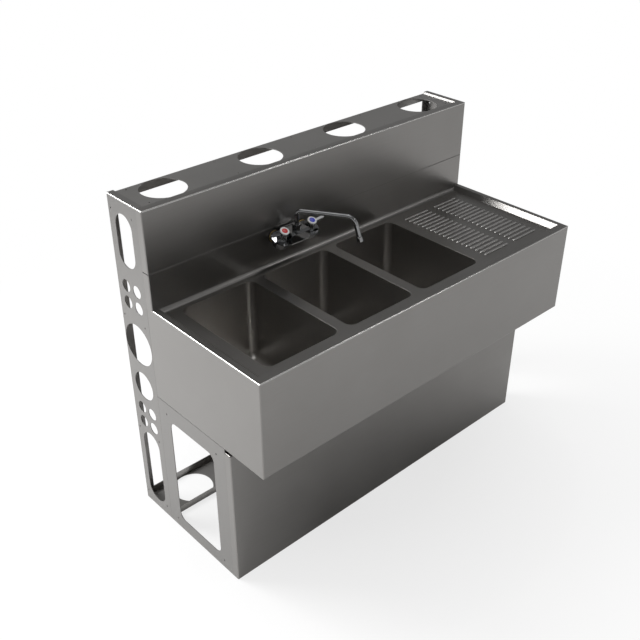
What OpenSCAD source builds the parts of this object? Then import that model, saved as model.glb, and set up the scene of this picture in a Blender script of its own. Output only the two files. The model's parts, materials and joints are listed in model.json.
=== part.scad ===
// Three-bowl bar sink with a ribbed drainboard. The sink hangs on a hollow wall that
// holds the plumbing, and its aprons rest on a base with an open back.
// Millimetres. The origin is the middle of the footprint, on the floor;
// +X runs to the right along the front, +Y to the back of the wall, +Z up.

/* [Overall] */
// Length from end to end
unit_l = 1219.2; // [1215:0.1:1500]
// Depth from the front apron to the back of the wall
unit_d = 598; // [596:1:700]
// Height of the top of the wall
unit_h = 1032; // [1025:1:1200]

/* [Wall] */
// Depth of the wall behind the face of the splash
wall_d = 160; // [155:1:200]
// How far the splash panels wrap back round the ends and the top
wrap_d = 25.4; // [20:0.1:28]
// Sheet of the end plates, the channels and the base
frame_t = 2; // [1.5:0.1:2.5]
// Width of the folded lips of the end plates and the channels
lip = 25.4; // [20:0.1:28]
// Width of the end plates' hemmed top flange
hem_w = 21; // [18:0.5:24]
// Thickness of that hem, by which it stands above the top channel
hem_h = 4; // [3:0.1:5]
// Outside radius of the folds in the sheets
fold_r = 3; // [2.6:0.1:4]

/* [Service holes] */
// Large round holes in the channels and the end plates
service_d = 127; // [100:0.5:130]
// Distance of the first channel hole from the end
service_end = 127; // [110:0.5:150]
// Number of holes along a channel
service_n = 4; // [2:1:5]
// Middle-sized round hole in an end plate
pipe_d = 89; // [70:0.5:90]
// Heights of the large and the middle-sized round hole in an end plate, as shares of the
// unit's height
round_z_shares = [0.58188, 0.44671];
// Small round holes in an end plate, in groups of four
cable_d = 37; // [25:0.5:38]
// Spacing of the small holes
cable_pitch = 50.8; // [45:0.1:52]
// Heights of the middles of the two groups of small holes, as shares of the unit's height
cable_z_shares = [0.33721, 0.72917];
// Widths of the lower and the upper slot in an end plate
slot_w = [82, 76];
// Lengths of the slots, as shares of the unit's height
slot_l_shares = [0.25, 0.149225];
// Heights of the middles of the slots, as shares of the unit's height
slot_z_shares = [0.15407, 0.88857];
// Fixing holes for the next unit and for a bar top
fix_d = 5; // [4:0.5:7]
// Distances of an end plate's fixing holes from its front and back edges
fix_front = 21.6; // [10:0.1:24]
fix_back = 13; // [10:0.5:15]
// Distances of an end plate's first and last fixing holes from its lower and upper end
fix_ends = [34, 38];
// Heights of the fixing holes between them, as shares of the unit's height
fix_z_shares = [0.27713, 0.65504];
// Distance of the fixing holes in the top channel from its edges
top_fix_edge = 14; // [10:0.5:18]
// Distance of the first fixing hole in the top channel from the end
top_fix_end = 50; // [45:0.5:60]
// Number of fixing holes along one edge of the top channel
top_fix_n = 5; // [2:1:6]

/* [Sink] */
// Height of the wall's top above the sink's rim
wall_rise = 281; // [270:1:330]
// Depth of the aprons below the rim
apron_h = 288; // [282:1:300]
// Sheet of the sink and the splash
sink_t = 1.5; // [1.2:0.1:2]
// Drop from the rim to the deck
deck_drop = 14; // [10:0.5:18]
// Width of the slope from the rim down to the deck
rim_slope = 14; // [6:0.5:16]
// Width of the flat rim at the two ends
side_rim = 18; // [14:0.5:22]
// Width of the flat rim along the front
front_rim = 26; // [20:0.5:30]
// Height of the sink's own splash above the rim
splash_h = 104; // [100:0.5:130]
// Radius of the cove between deck and splash
cove_r = 14; // [8:0.5:18]
// Width of the inward tabs and flanges of the splash and the aprons
tab = 18; // [12:0.5:20]

/* [Bowls] */
// Length of a bowl along the front
bowl_l = 242; // [200:0.5:246]
// Distance of the bowls from the foot of the front slope
bowl_front = 13; // [11:0.5:50]
// Depth of a bowl below the deck
bowl_depth = 254; // [200:0.5:256]
// Gap between two bowls
bowl_gap = 33; // [28:0.5:45]
// Distance of the first bowl from the left end
bowl_end = 66.5; // [60:0.5:75]
// Distance of the bowls from the splash
bowl_back = 23; // [21:0.5:28]
// Radius of the corners and of the bottom edge
bowl_r = 24; // [18:0.5:30]
// Width of the rim that is welded under the deck
bowl_rim = 9; // [6:0.5:12]

/* [Drainboard] */
// Length of a rib, as a share of the drainboard's width
rib_l_share = 0.3286; // [0.2:0.0001:0.35]
// Width of a rib
rib_w = 8; // [6:0.1:9]
// Height of a rib above the deck
rib_h = 3; // [2:0.1:3.6]
// Distance from one rib to the next
rib_pitch = 17.6; // [15:0.1:18]
// Least distance of a rib from the foot of the front slope
rib_front = 25; // [20:0.5:60]
// Gap between the two columns
rib_gap = 28; // [20:0.5:34]
// Distance of the first rib from the splash
rib_back = 52; // [45:0.5:56]

/* [Drains] */
// Diameter of the drain's flange in the bowl
drain_flange_d = 76; // [72:0.5:84]
// Outside diameter of the drain's threaded body
drain_d = 48; // [44:0.5:50]
// Length of the threaded body below the bowl
drain_l = 46; // [42:0.5:60]
// Outside diameter of the tailpiece
tail_d = 38.1; // [32:0.1:40]
// Length of the tailpiece
tail_l = 110; // [80:1:150]

/* [Base] */
// Distance from the splash to the joint between a side and the kick panel
base_side_d = 279; // [272:1:290]
// Depth of the kick panel's returns
kick_d = 23; // [20:0.5:30]
// Gap between the kick panel and the apron
kick_gap = 13; // [8:0.5:20]
// Cut-out in a base side: distances from the splash, the floor and the side's top
side_cut_at = [28, 42, 57];
// Width of that cut-out
side_cut_w = 198; // [150:1:220]
// Radius of its corners
side_cut_r = 25; // [15:0.5:30]

/* [Faucet] */
// Distance between the two valves, which is also that of the shanks
valve_pitch = 101.6; // [96:0.1:110]
// Height of the shanks above the deck
shank_h = 92; // [88:0.5:98]
// Forward tilt of the valves
valve_tilt = 25; // [15:1:35]
// Height of a lever's index ring over the shanks, along the tilted valve
valve_reach = 37; // [35:0.5:46]
// Distance of the valves' axis from the splash at the shanks' height
valve_out = 34; // [31:0.5:36]
// Length of a lever from its axis
lever_l = 46; // [36:0.5:50]
// Distance of the spout's riser from the splash
spout_out = 42; // [40:0.5:46]
// Height of the spout's level run above the shanks
spout_rise = 76; // [74:0.5:110]
// Outside diameter of the spout
spout_d = 12.7; // [11:0.1:14]
// Reach of the spout's level run
spout_run = 140; // [125:1:200]
// Radius of the spout's bend
spout_bend_r = 30; // [26:0.5:40]
// Angle through which it bends
outlet_turn = 75; // [60:1:88]
// Length of the straight outlet below the bend
outlet_l = 42; // [20:0.5:60]
// Outside diameter of the outlet, which is thicker for its thread
outlet_d = 14; // [13:0.1:15]
// Angle of the spout at rest, from straight ahead towards the right
spout_angle = 32.5; // [0:0.5:60]

/* [Hidden] */
$fn = 64;

// Overrun of a cut past the face that it opens
over = 1;
// Running clearance of a turning shaft, clearance of a part round a fixed one, and
// clearance at the end of a turning part
run_gap = 0.05;
fit_gap = 0.2;
end_gap = 0.3;

// Radii where a section stays square, and where two sheets meet in a seam
square_ends = [0, 0, 0, 0];
seam_r = 1;

// Faces of the whole unit, of the splash and of the wall's frame
x0 = -unit_l / 2;
x1 = unit_l / 2;
y_front = -unit_d / 2;
y_back = unit_d / 2;
y_splash = y_back - wall_d;
y_frame = y_splash + wrap_d;
rim_z = unit_h - wall_rise;
z_web = unit_h - hem_h;
z_lip = z_web - frame_t;
y_hole = (y_frame + y_back) / 2;
fix_z = concat(fix_ends[0], fix_z_shares * unit_h, unit_h - fix_ends[1]);
service_pitch = (unit_l - 2 * service_end) / (service_n - 1);
top_fix_pitch = (unit_l - 2 * top_fix_end) / (top_fix_n - 1);

// Levels and edges of the sink
z_deck = rim_z - deck_drop;
z_apron = rim_z - fold_r;
z_under = rim_z - apron_h;
z_seam = rim_z + splash_h;
well_x = [x0 + side_rim, x1 - side_rim];
well_y = [y_front + front_rim, y_splash];
deck_x = [well_x[0] + rim_slope, well_x[1] - rim_slope];
deck_y = [well_y[0] + rim_slope, y_splash];

// Middles of the bowls
bowl_n = 3;
bowl_pitch = bowl_l + bowl_gap;
bowl_w = deck_y[1] - bowl_back - deck_y[0] - bowl_front;
bowl_y = y_splash - bowl_back - bowl_w / 2;
z_bowl = z_deck - bowl_depth;
drainboard_x = [x0 + bowl_end + bowl_n * bowl_pitch - bowl_gap, deck_x[1]];
drainboard_w = drainboard_x[1] - drainboard_x[0];
rib_l = rib_l_share * drainboard_w;
function bowl_x(i) = x0 + bowl_end + bowl_l / 2 + i * bowl_pitch;

// Rail behind the seam of the splash
rail_h = 60;

// Stiffeners under the drainboard: width and height of the hat, width of its brims
hat_w_share = 0.12;
hat_brim_share = 0.043;
hat_pitch_share = 0.456;
hat_w = hat_w_share * drainboard_w;
hat_brim = hat_brim_share * drainboard_w;
hat_pitch = hat_pitch_share * drainboard_w;
hat_h = 18;
hat_end_gap = 20;

// Ribs in a column, and the radius of a rib's section
rib_n = 1 + floor((deck_y[1] - deck_y[0] - rib_back - rib_front) / rib_pitch);
rib_r = (pow(rib_w / 2, 2) + pow(rib_h, 2)) / (2 * rib_h);

// Drain: recess in the bowl, flange, grid, gasket, nuts and tailpiece
recess_depth = 3;
recess_gap = 4;
drain_flange_t = 2.5;
drain_wall = 3;
grid_hole_d = 8;
grid_ring_share = 0.33;
grid_n = 6;
gasket_t = 3;
gasket_d = 72;
locknut_d = 68;
locknut_h = 10;
lug_w = 12;
lug_out = 5;
lug_n = 4;
coupling_d = 58;
coupling_h = 18;
coupling_wall = 2;
coupling_flats = 8;
tail_wall = 1.5;
tail_flange_t = 2;
tail_collar = 1;
tail_collar_l = 10;
z_drain_floor = z_bowl - recess_depth;
z_drain_under = z_drain_floor - sink_t;
z_drain_end = z_drain_under - drain_l;

// Base
z_kick = z_under - kick_gap;
y_base = y_splash - base_side_d;
side_fix_y = [13, 240];
side_fix_ends = [28, 41];
side_fix_z = [side_fix_ends[0], z_under - side_fix_ends[1]];
side_cut_h = z_under - side_cut_at[1] - side_cut_at[2];

// Bolts that join base to wall, sink to base and sink to wall
bolt_d = 6;
bolt_hole_d = 6.6;
bolt_head_d = 11;
bolt_head_h = 4;
bolt_nut_h = 5;
bolt_spare = 2;
base_bolt_shares = [0.13, 0.5, 0.865];
apron_bolt_shares = [0.2, 0.79];
splash_bolt_shares = [0.25, 0.73];
base_bolt_z = [for (s = base_bolt_shares) s * z_under];
apron_bolt_z = [for (s = apron_bolt_shares) z_under + s * apron_h];
splash_bolt_z = [for (s = splash_bolt_shares) z_seam + s * (unit_h - z_seam)];
rest_bolt_y = [60, 220];

// Faucet body: the block between the bosses, its heights against the shanks and its
// distances from the splash, and the eight-sided valve bosses
body_l = 64;
body_h = [-17, 20];
body_out = [4, 60];
chamfer = 7;
boss_top_d = 60;
boss_low_d = 42;
boss_h = [-20, 6];
boss_flats = 8;
inlet_d = 32;
gallery_d = 10;

// Valve stack, along the tilted axis from the shank's height
valve_bore_d = 20;
valve_bore_floor = -12;
bonnet_low_d = 29;
bonnet_top_d = 20;
stem_d = 9;
stem_foot_d = 14;
stem_foot_h = 6;
stem_in_hub = 5;
hub_d = 21;
hub_h = 9;
lever_w = 9;
lever_t = 5;
lever_rise = 8;
screw_d = 4;
screw_head_d = 7.5;
screw_head_h = 2.5;
ring_d = 27;
ring_h = 3;
button_d = 17;
button_h = 2;
button_crown = 1;
bonnet_top = valve_reach - ring_h - hub_h - end_gap;
stem_top = bonnet_top + stem_in_hub;

// Shanks through the splash
shank_d = 23;
shank_bore_d = 13;
shank_l = 62;
shank_hole_d = 25;
supply_d = 20.9;
supply_l = 44;
shank_flange_d = 36;
shank_gasket_d = 40;
shank_gasket_t = 2;
shank_nut_d = 34;
shank_nut_h = 9;

// Spout seat, nut and outlet
spout_wall = 1.2;
seat_d = 22;
seat_h = 8;
socket_depth = 26;
seal_h = 3;
seal_d = 17;
collar_d = 18;
collar_h = 3;
nut_d = 27;
nut_h = 17;
nut_wall = 3;
nut_flats = 8;
elbow_r = 13;
outlet_lap = 2;
outlet_wall = 2.2;
aerator_d = 17;
aerator_l = 15;
aerator_grip = 6;

faucet_x = bowl_x(1);
z_shank = z_deck + shank_h;
y_riser = y_splash - spout_out;
z_spout = z_shank + spout_rise;

steel = "silver";
satin = "lightgray";
chrome = "gainsboro";

// A box between two values on each axis
module span(x, y, z) {
    translate([x[0], y[0], z[0]])
        cube([x[1] - x[0], y[1] - y[0], z[1] - z[0]]);
}

// A rectangle from the origin with the radii of its corners: low-left, low-right,
// high-right, high-left
module sheet_outline(w, h, radii) {
    difference() {
        square([w, h]);
        for (i = [0:3]) if (radii[i] > 0) {
            r = radii[i];
            right = i == 1 || i == 2;
            high = i > 1;
            translate([right ? w : 0, high ? h : 0])
                mirror([right ? 1 : 0, 0])
                    mirror([0, high ? 1 : 0])
                        difference() {
                            translate([-over, -over])
                                square(r + over);
                            translate([r, r])
                                circle(r);
                        }
        }
    }
}

// A block between two values on each axis with round edges. Each list holds the radii
// of one section's corners: xy gives upright edges, xz and yz give level ones.
module folded_block(x, y, z, xy = square_ends, xz = square_ends, yz = square_ends) {
    dx = x[1] - x[0];
    dy = y[1] - y[0];
    dz = z[1] - z[0];
    translate([x[0], y[0], z[0]])
        intersection() {
            linear_extrude(dz)
                sheet_outline(dx, dy, xy);
            translate([0, dy, 0])
                rotate([90, 0, 0])
                    linear_extrude(dy)
                        sheet_outline(dx, dz, xz);
            rotate([90, 0, 90])
                linear_extrude(dx)
                    sheet_outline(dy, dz, yz);
        }
}

// Cutters along X, Y and Z, centred on a point
module drill_x(at, d, l) {
    translate(at)
        rotate([0, 90, 0])
            cylinder(d = d, h = l, center = true);
}

module drill_y(at, d, l) {
    translate(at)
        rotate([90, 0, 0])
            cylinder(d = d, h = l, center = true);
}

module drill_z(at, d, l) {
    translate(at)
        cylinder(d = d, h = l, center = true);
}

// An upright slot cutter through a sheet that faces X
module slot_x(at, w, l, t) {
    run = (l - w) / 2;
    drill_x(at + [0, 0, run], w, t);
    drill_x(at - [0, 0, run], w, t);
    span([at[0] - t / 2, at[0] + t / 2], [at[1] - w / 2, at[1] + w / 2],
        [at[2] - run, at[2] + run]);
}

// A piece made for the left end, mirrored for the right
module right_hand() {
    mirror([1, 0, 0])
        children();
}

// Places of the bolts at the left end: through the sheets that face Y at the wall,
// and through the flanges between apron and base
module wall_bolts() {
    for (z = concat(base_bolt_z, apron_bolt_z, splash_bolt_z))
        translate([x0 + frame_t + tab / 2 + bolt_spare, y_frame, z])
            rotate([-90, 0, 0])
                children();
}

module rest_bolts() {
    for (y = rest_bolt_y)
        translate([x0 + frame_t + tab / 2 + bolt_spare, y_splash - y, z_under])
            children();
}

module bolt_hole() {
    cylinder(d = bolt_hole_d, h = 2 * (frame_t + sink_t) + over, center = true);
}

// Wall

module end_plate() {
    web_cut = 2 * fold_r;
    difference() {
        folded_block([x0, x0 + lip], [y_frame, y_back], [0, unit_h],
            xy = [seam_r, 0, 0, fold_r], xz = [0, 0, 0, fold_r]);
        span([x0 + frame_t, x0 + lip + over], [y_frame + frame_t, y_back - frame_t],
            [-over, z_web]);
        span([x0 + frame_t, x0 + lip + over], [y_frame - over, y_back + over],
            [z_lip, z_web]);
        span([x0 + hem_w, x0 + lip + over], [y_frame - over, y_back + over],
            [z_lip, unit_h + over]);
        span([x0 + frame_t, x0 + lip + over], [y_frame - over, y_back + over],
            [-over, frame_t]);
        drill_x([x0, y_hole, round_z_shares[0] * unit_h], service_d, web_cut);
        drill_x([x0, y_hole, round_z_shares[1] * unit_h], pipe_d, web_cut);
        for (z = cable_z_shares * unit_h, sy = [-1, 1], sz = [-1, 1])
            drill_x([x0, y_hole + sy * cable_pitch / 2, z + sz * cable_pitch / 2],
                cable_d, web_cut);
        for (i = [0:len(slot_w) - 1])
            slot_x([x0, y_hole, slot_z_shares[i] * unit_h], slot_w[i],
                slot_l_shares[i] * unit_h, web_cut);
        for (y = [y_frame + fix_front, y_back - fix_back], z = fix_z)
            drill_x([x0, y, z], fix_d, web_cut);
        wall_bolts()
            bolt_hole();
    }
}

// A channel from end plate to end plate, web up, with its large holes
module channel() {
    difference() {
        folded_block([x0 + frame_t, x1 - frame_t], [y_frame, y_back], [-lip, 0],
            yz = [0, 0, fold_r, fold_r]);
        span([x0, x1], [y_frame + frame_t, y_back - frame_t], [-lip - over, -frame_t]);
        for (right = [0, 1])
            mirror([right, 0, 0])
                span([x0, x0 + lip], [y_frame - over, y_back + over],
                    [-lip - over, -frame_t]);
        for (i = [0:service_n - 1])
            drill_z([x0 + service_end + i * service_pitch, y_hole, 0],
                service_d, 2 * fold_r);
    }
}

module top_channel() {
    color(steel)
        difference() {
            translate([0, 0, z_web])
                channel();
            for (i = [0:top_fix_n - 1], y = [y_frame + top_fix_edge, y_back - top_fix_edge])
                drill_z([x0 + top_fix_end + i * top_fix_pitch, y, z_web],
                    fix_d, 2 * fold_r);
        }
}

module bottom_channel() {
    color(steel)
        mirror([0, 0, 1])
            channel();
}

// A sheet round the front of the wall with tabs against the frame, without its top
// return where open is true
module splash_shell(z, open) {
    top = open ? z[1] + over : z[1] - sink_t;
    difference() {
        folded_block([x0, x1], [y_splash, y_frame], z, xy = [fold_r, fold_r, 0, 0],
            xz = open ? square_ends : [0, 0, fold_r, fold_r],
            yz = open ? square_ends : [0, 0, seam_r, fold_r]);
        span([x0 + sink_t, x1 - sink_t], [y_splash + sink_t, y_frame - sink_t],
            [z[0] - over, top]);
        span([x0 + sink_t + tab, x1 - sink_t - tab], [y_splash + sink_t, y_frame + over],
            [z[0] - over, open ? top : top - tab]);
        wall_bolts()
            bolt_hole();
        right_hand()
            wall_bolts()
                bolt_hole();
    }
}

module upper_splash_panel() {
    color(satin)
        splash_shell([z_seam, unit_h], false);
}

module seam_rail() {
    y = [y_splash + sink_t, y_frame - sink_t];
    z = [z_seam - rail_h / 2, z_seam + rail_h / 2];
    x = [x0 + sink_t, x1 - sink_t];
    notch = (valve_pitch + shank_nut_d) / 2 + fold_r;
    color(steel)
        difference() {
            span(x, y, z);
            span([x[0] - over, x[1] + over], [y[0] + frame_t, y[1] + over],
                [z[0] + frame_t, z[1] - frame_t]);
            // Room for the faucet's shanks and their nuts
            span([faucet_x - notch, faucet_x + notch], [y[0] - over, y[1] + over],
                [z[0] - over, z_shank + shank_nut_d / 2 + fold_r]);
        }
}

// Sink

module bowl_outline(grow = 0) {
    r = bowl_r + grow;
    w = bowl_l + 2 * grow;
    h = bowl_w + 2 * grow;
    translate([-w / 2, -h / 2])
        sheet_outline(w, h, [r, r, r, r]);
}

// One pressed rib, a bar with round ends sunk into the deck
module rib() {
    run = rib_l - 2 * rib_r;
    translate([rib_r, 0, rib_h - rib_r]) {
        sphere(rib_r);
        rotate([0, 90, 0])
            cylinder(r = rib_r, h = run);
        translate([run, 0, 0])
            sphere(rib_r);
    }
}

module ribs() {
    middle = (drainboard_x[0] + drainboard_x[1]) / 2;
    for (i = [0:rib_n - 1], x = [middle - rib_gap / 2 - rib_l, middle + rib_gap / 2])
        translate([x, y_splash - rib_back - i * rib_pitch, z_deck])
            rib();
}

// The well inside the rim, with its left, right and front sides sloped. It is grown
// by the sheet's thickness for the underside.
module well(grow) {
    slope = rim_slope / deck_drop;
    side = grow * sqrt(1 + slope * slope);
    low = z_deck - grow;
    high = rim_z + over;
    out_low = side - grow * slope;
    out_high = side + (over + deck_drop) * slope;
    intersection() {
        translate([0, well_y[0] - side - deck_drop, 0])
            rotate([90, 0, 0])
                mirror([0, 0, 1])
                    linear_extrude(unit_d)
                        polygon([[deck_x[0] - out_low, low], [deck_x[1] + out_low, low],
                            [deck_x[1] + out_high, high], [deck_x[0] - out_high, high]]);
        translate([x0, 0, 0])
            rotate([90, 0, 90])
                linear_extrude(unit_l)
                    polygon([[deck_y[0] - out_low, low], [y_splash + grow, low],
                        [y_splash + grow, high], [deck_y[0] - out_high, high]]);
    }
}

// The cove along the splash
module cove() {
    translate([well_x[0], y_splash, z_deck])
        rotate([90, 0, 90])
            linear_extrude(well_x[1] - well_x[0])
                difference() {
                    translate([-cove_r, -sink_t])
                        square([cove_r + sink_t / 2, cove_r + sink_t]);
                    translate([-cove_r, cove_r])
                        circle(cove_r);
                }
}

module sink_top() {
    color(satin) {
        difference() {
            union() {
                // Rim, with its outer edges folded down
                difference() {
                    folded_block([x0, x1], [y_front, y_splash + sink_t], [z_apron, rim_z],
                        xy = [fold_r, fold_r, 0, 0], xz = [0, 0, fold_r, fold_r],
                        yz = [0, 0, 0, fold_r]);
                    span([x0 + sink_t, x1 - sink_t], [y_front + sink_t, y_splash + over],
                        [z_apron - over, rim_z - sink_t]);
                    span(well_x, [well_y[0], y_splash + over], [z_apron - over, rim_z + over]);
                }
                // Recessed deck with its sloped sides, and the cove
                difference() {
                    intersection() {
                        well(sink_t);
                        span([x0, x1], [y_front, y_splash + sink_t],
                            [z_deck - sink_t, rim_z]);
                    }
                    difference() {
                        well(0);
                        cove();
                    }
                }
                ribs();
                splash_shell([z_apron, z_seam], true);
            }
            for (i = [0:bowl_n - 1])
                translate([bowl_x(i), bowl_y, z_deck - cove_r])
                    linear_extrude(2 * cove_r)
                        bowl_outline();
            span(drainboard_x, deck_y, [z_deck - sink_t - 2 * rib_r, z_deck - sink_t]);
            for (s = [-1, 1])
                drill_y([faucet_x + s * valve_pitch / 2, y_splash, z_shank],
                    shank_hole_d, 3 * sink_t);
        }
    }
}

module front_apron() {
    color(satin)
        difference() {
            folded_block([x0, x1], [y_front, y_front + tab], [z_under, z_apron],
                xy = [fold_r, fold_r, 0, 0], yz = [fold_r, 0, 0, 0],
                xz = [seam_r, seam_r, 0, 0]);
            span([x0 + sink_t, x1 - sink_t], [y_front + sink_t, y_front + tab + over],
                [z_under + sink_t, z_apron + over]);
            for (right = [0, 1])
                mirror([right, 0, 0])
                    span([x0 - over, x0 + sink_t + tab + over],
                        [y_front + fold_r, y_front + tab + over],
                        [z_under - over, z_apron + over]);
        }
}

module side_apron() {
    y = [y_front + fold_r, y_frame];
    color(satin)
        difference() {
            folded_block([x0, x0 + sink_t + tab], y, [z_under, z_apron],
                xz = [seam_r, 0, 0, 0], xy = [0, 0, 0, seam_r]);
            span([x0 + sink_t, x0 + sink_t + tab + over], [y[0] - over, y[1] - sink_t],
                [z_under + sink_t, z_apron + over]);
            wall_bolts()
                bolt_hole();
            rest_bolts()
                bolt_hole();
        }
}

// A bowl with round corners and a round bottom edge, welded under the deck
module bowl_solid(grow) {
    r = bowl_r + grow;
    dx = bowl_l / 2 + grow - r;
    dy = bowl_w / 2 + grow - r;
    translate([0, 0, z_bowl + bowl_r])
        linear_extrude(bowl_depth - sink_t - bowl_r)
            bowl_outline(grow);
    intersection() {
        hull()
            for (sx = [-1, 1], sy = [-1, 1])
                translate([sx * dx, sy * dy, z_bowl + bowl_r])
                    sphere(r, $fn = 32);
        translate([0, 0, z_bowl - grow])
            linear_extrude(bowl_r + grow)
                bowl_outline(grow);
    }
}

module bowl(i) {
    recess_d = drain_flange_d + recess_gap;
    color(satin)
        translate([bowl_x(i), bowl_y, 0])
            difference() {
                union() {
                    bowl_solid(sink_t);
                    translate([0, 0, z_deck - 2 * sink_t])
                        linear_extrude(sink_t)
                            bowl_outline(bowl_rim);
                    translate([0, 0, z_drain_under])
                        cylinder(d = recess_d + 2 * sink_t, h = recess_depth + sink_t);
                }
                bowl_solid(0);
                translate([0, 0, z_deck - 2 * sink_t])
                    linear_extrude(2 * sink_t)
                        bowl_outline();
                translate([0, 0, z_drain_floor])
                    cylinder(d = recess_d, h = recess_depth + bowl_r);
                translate([0, 0, z_drain_under - over])
                    cylinder(d = drain_d + 2 * fit_gap, h = bowl_r);
            }
}

// A hat-shaped stiffener under the drainboard. The side is -1 for left and 1 for right.
module stiffener(side) {
    x = (drainboard_x[0] + drainboard_x[1]) / 2 + side * hat_pitch / 2;
    y = [deck_y[0] + hat_end_gap, y_splash - hat_end_gap];
    outer = hat_w / 2;
    inner = outer - sink_t;
    edge = outer + hat_brim;
    color(steel)
        translate([x, y[1], z_deck - sink_t])
            rotate([90, 0, 0])
                linear_extrude(y[1] - y[0])
                    polygon([[-edge, 0], [-inner, 0], [-inner, sink_t - hat_h],
                        [inner, sink_t - hat_h], [inner, 0], [edge, 0],
                        [edge, -sink_t], [outer, -sink_t], [outer, -hat_h],
                        [-outer, -hat_h], [-outer, -sink_t], [-edge, -sink_t]]);
}

// Drains

module drain_body(i) {
    z_top = z_drain_floor + drain_flange_t;
    color(chrome)
        translate([bowl_x(i), bowl_y, 0])
            difference() {
                union() {
                    translate([0, 0, z_drain_floor])
                        cylinder(d = drain_flange_d, h = drain_flange_t);
                    translate([0, 0, z_drain_end])
                        cylinder(d = drain_d, h = drain_l + sink_t + drain_flange_t);
                }
                translate([0, 0, z_drain_end - over])
                    cylinder(d = drain_d - 2 * drain_wall, h = drain_l + over + sink_t);
                drill_z([0, 0, z_top], grid_hole_d, 3 * drain_flange_t);
                for (k = [0:grid_n - 1])
                    rotate([0, 0, k * 360 / grid_n])
                        drill_z([grid_ring_share * drain_d, 0, z_top],
                            grid_hole_d, 3 * drain_flange_t);
            }
}

module drain_gasket(i) {
    translate([bowl_x(i), bowl_y, z_drain_under - gasket_t])
        color("dimgray")
            difference() {
                cylinder(d = gasket_d, h = gasket_t);
                translate([0, 0, -over])
                    cylinder(d = drain_d + 2 * fit_gap, h = gasket_t + 2 * over);
            }
}

module drain_locknut(i) {
    translate([bowl_x(i), bowl_y, z_drain_under - gasket_t - locknut_h])
        color("darkgoldenrod")
            difference() {
                union() {
                    cylinder(d = locknut_d - 2 * lug_out, h = locknut_h);
                    for (k = [0:lug_n / 2 - 1])
                        rotate([0, 0, k * 360 / lug_n])
                            translate([-locknut_d / 2, -lug_w / 2, 0])
                                cube([locknut_d, lug_w, locknut_h]);
                }
                translate([0, 0, -over])
                    cylinder(d = drain_d + 2 * run_gap, h = locknut_h + 2 * over);
            }
}

// The nut hangs on the tailpiece's flange and is screwed up on the drain
module coupling_nut(i) {
    z_low = z_drain_end - tail_flange_t - coupling_wall;
    translate([bowl_x(i), bowl_y, z_low])
        color("darkgoldenrod")
            difference() {
                cylinder(d = coupling_d, h = coupling_h, $fn = coupling_flats);
                translate([0, 0, coupling_wall])
                    cylinder(d = drain_d + 2 * run_gap, h = coupling_h);
                translate([0, 0, -over])
                    cylinder(d = tail_d + 2 * (tail_collar + run_gap), h = coupling_h);
            }
}

// The tailpiece, with its flange and the collar under it
module tailpiece(i) {
    translate([bowl_x(i), bowl_y, z_drain_end - tail_l])
        color(chrome)
            difference() {
                union() {
                    cylinder(d = tail_d, h = tail_l);
                    translate([0, 0, tail_l - tail_flange_t - tail_collar_l])
                        cylinder(d = tail_d + 2 * tail_collar, h = tail_collar_l);
                    translate([0, 0, tail_l - tail_flange_t])
                        cylinder(d = drain_d, h = tail_flange_t);
                }
                translate([0, 0, -over])
                    cylinder(d = tail_d - 2 * tail_wall, h = tail_l + 2 * over);
            }
}

// Base

module base_side() {
    y = [y_base, y_frame];
    cut_y = y_splash - side_cut_at[0] - side_cut_w;
    color(steel)
        difference() {
            folded_block([x0, x0 + frame_t + tab], y, [0, z_under],
                xz = [0, 0, 0, fold_r], xy = [seam_r, 0, 0, seam_r]);
            span([x0 + frame_t, x0 + frame_t + tab + over],
                [y[0] + frame_t, y[1] - frame_t], [frame_t, z_under - frame_t]);
            translate([x0 + fold_r, cut_y, side_cut_at[1]])
                rotate([90, 0, 90])
                    translate([0, 0, -2 * fold_r])
                        linear_extrude(3 * fold_r)
                            sheet_outline(side_cut_w, side_cut_h,
                                [side_cut_r, side_cut_r, side_cut_r, side_cut_r]);
            for (d = side_fix_y, z = side_fix_z)
                drill_x([x0, y_splash - d, z], fix_d, 2 * fold_r);
            wall_bolts()
                bolt_hole();
            rest_bolts()
                bolt_hole();
        }
}

module kick_panel() {
    y = [y_base - kick_d, y_base];
    color(satin)
        difference() {
            folded_block([x0, x1], y, [0, z_kick],
                xy = [fold_r, fold_r, 0, 0], xz = [0, 0, fold_r, fold_r],
                yz = [0, 0, 0, fold_r]);
            span([x0 + frame_t, x1 - frame_t], [y[0] + frame_t, y[1] - frame_t],
                [-over, z_kick - frame_t]);
            span([x0 + frame_t + tab, x1 - frame_t - tab], [y[0] + frame_t, y[1] + over],
                [-over, z_kick - frame_t]);
        }
}

// Bolts and nuts

module frame_bolt(grip) {
    translate([0, 0, -grip - bolt_head_h])
        cylinder(d = bolt_head_d, h = bolt_head_h, $fn = 6);
    translate([0, 0, -grip])
        cylinder(d = bolt_d, h = grip + frame_t + bolt_nut_h + bolt_spare);
}

module frame_nut() {
    translate([0, 0, frame_t])
        difference() {
            cylinder(d = bolt_head_d, h = bolt_nut_h, $fn = 6);
            translate([0, 0, -over])
                cylinder(d = bolt_d + 2 * run_gap, h = bolt_nut_h + 2 * over);
        }
}

module bolts_at_left() {
    at_x = x0 + frame_t + tab / 2 + bolt_spare;
    for (z = base_bolt_z)
        translate([at_x, y_frame, z])
            rotate([-90, 0, 0])
                frame_bolt(frame_t);
    for (z = concat(apron_bolt_z, splash_bolt_z))
        translate([at_x, y_frame, z])
            rotate([-90, 0, 0])
                frame_bolt(sink_t);
    rest_bolts()
        mirror([0, 0, 1])
            frame_bolt(sink_t);
}

module nuts_at_left() {
    wall_bolts()
        frame_nut();
    rest_bolts()
        mirror([0, 0, 1])
            frame_nut();
}

module frame_bolts() {
    color("gray") {
        bolts_at_left();
        right_hand()
            bolts_at_left();
    }
}

module frame_nuts() {
    color("gray") {
        nuts_at_left();
        right_hand()
            nuts_at_left();
    }
}

// Faucet. The side is -1 for hot and 1 for cold.

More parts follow.
